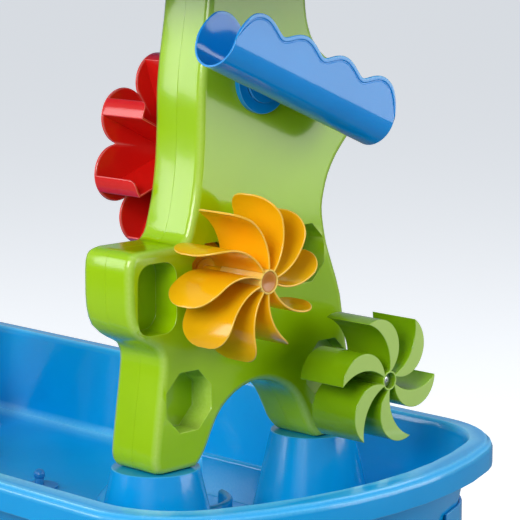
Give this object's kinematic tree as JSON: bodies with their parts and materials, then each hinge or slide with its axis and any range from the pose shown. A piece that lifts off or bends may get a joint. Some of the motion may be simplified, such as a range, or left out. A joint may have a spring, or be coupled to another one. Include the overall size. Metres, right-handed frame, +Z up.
{
  "type": "water and sand table with wheel tower",
  "caption": "Blue play tub on legs with a lime wheel tower, tilting chute, spinning water wheels and a rain tray on top.",
  "frame": {"origin": "on the ground under the middle of the tub", "axes": "+Z up, +Y along the tub from the near tower to the far one, +X to the right as seen from the near end"},
  "size_m": [0.524, 1.07, 0.917],
  "materials": {
    "blue_plastic": "glossy moulded plastic",
    "lime_plastic": "glossy moulded plastic",
    "orange_plastic": "glossy moulded plastic",
    "red_plastic": "glossy moulded plastic",
    "screw_steel": "plain zinc-plated steel"
  },
  "bodies": {
    "table": {"tub": "blue_plastic", "leg_front_left": "blue_plastic", "leg_front_right": "blue_plastic", "leg_rear_left": "blue_plastic", "leg_rear_right": "blue_plastic", "leg_screws": "screw_steel", "tower_front_shell": "lime_plastic", "tower_rear_shell": "lime_plastic", "tower_screws": "screw_steel", "far_tower_front_shell": "lime_plastic", "far_tower_rear_shell": "lime_plastic", "far_tower_screws": "screw_steel", "rain_tray": "blue_plastic", "chute_mount": "blue_plastic", "orange_mount": "orange_plastic", "orange_screw": "screw_steel", "green_mount": "lime_plastic", "green_screw": "screw_steel", "red_mount": "red_plastic", "red_screw": "screw_steel"},
    "plug": {"drain_plug": "blue_plastic"},
    "trough": {"chute": "blue_plastic", "chute_screw": "screw_steel"},
    "orange": {"orange_wheel": "orange_plastic", "orange_hub_cap": "orange_plastic"},
    "green": {"green_wheel": "lime_plastic"},
    "red": {"red_wheel": "red_plastic", "red_hub_cap": "red_plastic"}
  },
  "joints": [
    {"name": "orange_spin", "type": "hinge", "parent": "table", "child": "orange", "pos_m": [-0.063, -0.402, 0.573], "axis": [0, 1, 0], "continuous": true},
    {"name": "green_spin", "type": "hinge", "parent": "table", "child": "green", "pos_m": [0.098, -0.402, 0.453], "axis": [0, 1, 0], "continuous": true},
    {"name": "red_spin", "type": "hinge", "parent": "table", "child": "red", "pos_m": [0, -0.252, 0.677], "axis": [0, 1, 0], "continuous": true},
    {"name": "chute_tilt", "type": "hinge", "parent": "table", "child": "trough", "pos_m": [0, -0.354, 0.76], "axis": [0, 1, 0], "range_deg": [-45, 0]},
    {"name": "drain_plug_pull", "type": "slide", "parent": "table", "child": "plug", "axis": [0, 0, 1], "range_m": [0, 0.025]}
  ]
}
